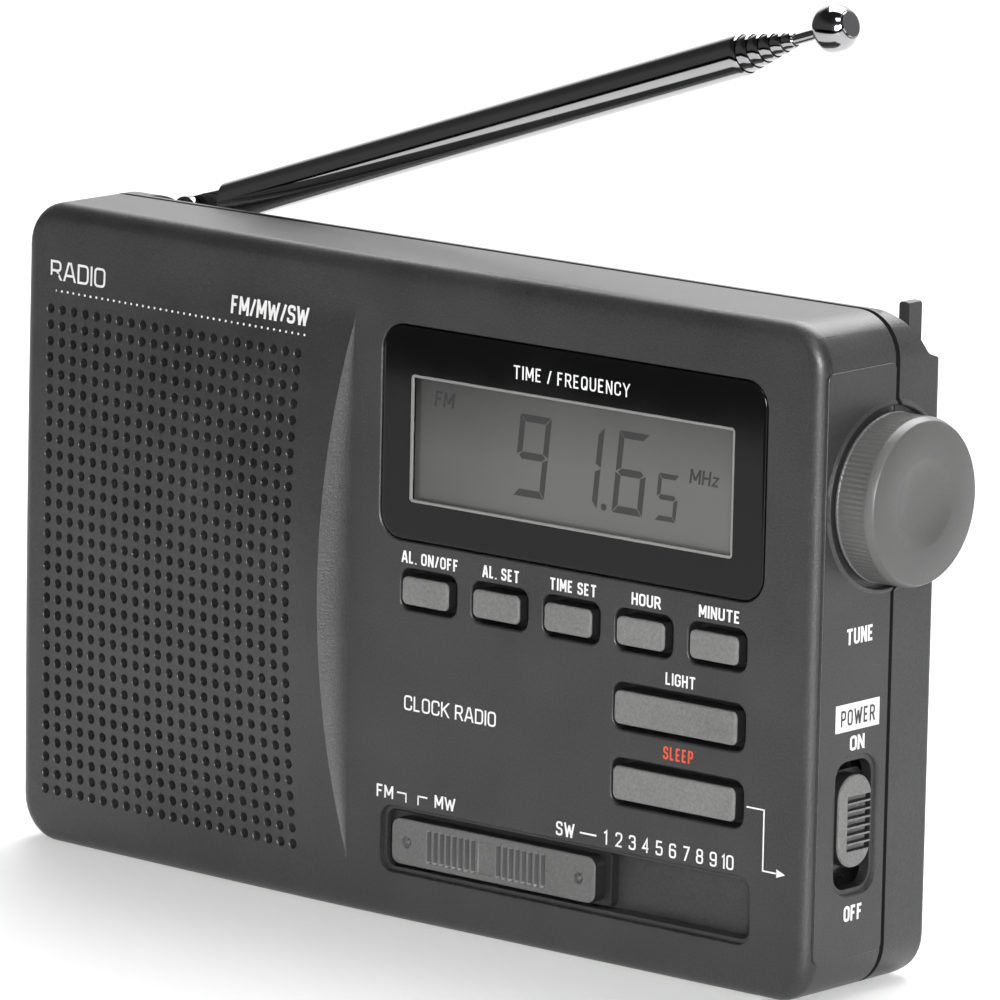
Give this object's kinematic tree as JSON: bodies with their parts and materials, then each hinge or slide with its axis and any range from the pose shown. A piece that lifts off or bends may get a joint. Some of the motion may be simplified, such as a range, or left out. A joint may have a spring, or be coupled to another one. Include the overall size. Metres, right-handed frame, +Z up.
{
  "type": "shortwave receiver",
  "caption": "Pocket shortwave receiver with a punched speaker panel, display window, clock buttons, band slide, side tuning knob and telescopic antenna.",
  "frame": {"origin": "on the flat underside, mid-width, 15 mm behind the flat front panel", "axes": "+X along the case's width to the tuning knob side, +Z up, the front panel faces -Y"},
  "size_m": [0.1329, 0.0311, 0.1139],
  "materials": {
    "case": "fine grained dark grey moulding",
    "window": "polished black acrylic",
    "lcd": "satin liquid crystal glass",
    "lcd_frame": "satin grey",
    "backlight": "translucent white",
    "board": "solder-masked laminate",
    "black_plastic": "satin black moulding",
    "button": "satin mid grey",
    "slider": "satin mid grey",
    "knob": "satin grey, knurled",
    "steel": "plated steel",
    "ivory_plastic": "satin off-white",
    "cone": "pressed paper fibre",
    "cloth": "woven felt",
    "magnet": "sintered ferrite",
    "copper": "enamelled copper wire",
    "battery": "sleeved steel can",
    "chrome": "bright chrome plating"
  },
  "bodies": {
    "cabinet": {"front_cabinet": "case", "rear_cabinet": "case", "display_window": "window", "lcd_panel": "lcd", "lcd_frame": "lcd_frame", "backlight": "backlight", "main_board": "board", "tact_switch_key_1": "black_plastic", "tact_switch_key_2": "black_plastic", "tact_switch_key_3": "black_plastic", "tact_switch_key_4": "black_plastic", "tact_switch_key_5": "black_plastic", "tact_switch_light": "black_plastic", "tact_switch_sleep": "black_plastic", "earphone_jack": "black_plastic", "dc_jack": "black_plastic", "band_switch_body": "steel", "power_switch_body": "steel", "volume_control": "steel", "battery_bridge": "steel", "battery_contact": "steel", "battery_spring_1": "steel", "battery_spring_2": "steel", "case_screw_1": "steel", "case_screw_2": "steel", "case_screw_3": "steel", "case_screw_4": "steel", "speaker_basket": "steel", "tuning_capacitor": "ivory_plastic", "speaker_cone": "cone", "grille_cloth": "cloth", "speaker_magnet": "magnet", "ferrite_rod": "magnet", "ferrite_coil": "copper", "battery_1": "battery", "battery_2": "battery"},
    "battery_door": {"battery_door": "case"},
    "band_slider": {"band_slider_cap": "slider", "band_slider_plate": "black_plastic"},
    "power_switch": {"power_switch_cap": "button"},
    "tuning": {"tuning_knob": "knob", "tuning_shaft": "steel"},
    "volume": {"volume_wheel": "black_plastic"},
    "antenna_swivel": {"antenna_fork": "chrome", "antenna_pin": "chrome"},
    "button_clock_on_off": {"button_clock_on_off": "button"},
    "button_clock_set": {"button_clock_set": "button"},
    "button_time_display": {"button_time_display": "button"},
    "button_hour": {"button_hour": "button"},
    "button_minute": {"button_minute": "button"},
    "button_light": {"button_light": "button"},
    "button_sleep": {"button_sleep": "button"},
    "antenna_section_1": {"antenna_section_1": "chrome"},
    "antenna_section_2": {"antenna_section_2": "chrome"},
    "antenna_section_3": {"antenna_section_3": "chrome"},
    "antenna_section_4": {"antenna_section_4": "chrome"},
    "antenna_section_5": {"antenna_section_5": "chrome"},
    "antenna_section_6": {"antenna_section_6": "chrome"},
    "antenna_rod": {"antenna_rod": "chrome", "antenna_tip": "chrome"}
  },
  "joints": [
    {"name": "tuning_turn", "type": "hinge", "parent": "cabinet", "child": "tuning", "pos_m": [0.065, -0.0027, 0.0586], "axis": [1, 0, 0], "range_deg": [-90, 90]},
    {"name": "volume_turn", "type": "hinge", "parent": "cabinet", "child": "volume", "pos_m": [-0.055, 0.001, 0.05], "axis": [0, 1, 0], "range_deg": [-140, 140]},
    {"name": "power_slide", "type": "slide", "parent": "cabinet", "child": "power_switch", "axis": [0, 0, -1], "range_m": [0, 0.0024]},
    {"name": "band_slide", "type": "slide", "parent": "cabinet", "child": "band_slider", "axis": [1, 0, 0], "range_m": [0, 0.022]},
    {"name": "button_clock_on_off_press", "type": "slide", "parent": "cabinet", "child": "button_clock_on_off", "axis": [0, 1, 0], "range_m": [0, 0.0005], "stiffness_N_per_m": 300, "springref_m": -0.003},
    {"name": "button_clock_set_press", "type": "slide", "parent": "cabinet", "child": "button_clock_set", "axis": [0, 1, 0], "range_m": [0, 0.0005], "stiffness_N_per_m": 300, "springref_m": -0.003},
    {"name": "button_time_display_press", "type": "slide", "parent": "cabinet", "child": "button_time_display", "axis": [0, 1, 0], "range_m": [0, 0.0005], "stiffness_N_per_m": 300, "springref_m": -0.003},
    {"name": "button_hour_press", "type": "slide", "parent": "cabinet", "child": "button_hour", "axis": [0, 1, 0], "range_m": [0, 0.0005], "stiffness_N_per_m": 300, "springref_m": -0.003},
    {"name": "button_minute_press", "type": "slide", "parent": "cabinet", "child": "button_minute", "axis": [0, 1, 0], "range_m": [0, 0.0005], "stiffness_N_per_m": 300, "springref_m": -0.003},
    {"name": "button_light_press", "type": "slide", "parent": "cabinet", "child": "button_light", "axis": [0, 1, 0], "range_m": [0, 0.0005], "stiffness_N_per_m": 300, "springref_m": -0.003},
    {"name": "button_sleep_press", "type": "slide", "parent": "cabinet", "child": "button_sleep", "axis": [0, 1, 0], "range_m": [0, 0.0005], "stiffness_N_per_m": 300, "springref_m": -0.003},
    {"name": "battery_door_pull", "type": "slide", "parent": "cabinet", "child": "battery_door", "axis": [0, 1, 0], "range_m": [0, 0.03]},
    {"name": "antenna_turn", "type": "hinge", "parent": "cabinet", "child": "antenna_swivel", "pos_m": [-0.0501, 0.0044, 0.0778], "axis": [0, 0, 1], "range_deg": [0, 120]},
    {"name": "antenna_tilt", "type": "hinge", "parent": "antenna_swivel", "child": "antenna_section_1", "pos_m": [-0.0501, 0.0044, 0.0778], "axis": [0, -1, 0], "range_deg": [-18.5, 71.5]},
    {"name": "antenna_pull_1", "type": "slide", "parent": "antenna_section_1", "child": "antenna_section_2", "axis": [0.9483, 0, 0.3173], "range_m": [0, 0.068]},
    {"name": "antenna_pull_2", "type": "slide", "parent": "antenna_section_2", "child": "antenna_section_3", "axis": [0.9483, 0, 0.3173], "range_m": [0, 0.068]},
    {"name": "antenna_pull_3", "type": "slide", "parent": "antenna_section_3", "child": "antenna_section_4", "axis": [0.9483, 0, 0.3173], "range_m": [0, 0.068]},
    {"name": "antenna_pull_4", "type": "slide", "parent": "antenna_section_4", "child": "antenna_section_5", "axis": [0.9483, 0, 0.3173], "range_m": [0, 0.068]},
    {"name": "antenna_pull_5", "type": "slide", "parent": "antenna_section_5", "child": "antenna_section_6", "axis": [0.9483, 0, 0.3173], "range_m": [0, 0.068]},
    {"name": "antenna_pull_6", "type": "slide", "parent": "antenna_section_6", "child": "antenna_rod", "axis": [0.9483, 0, 0.3173], "range_m": [0, 0.068]}
  ]
}
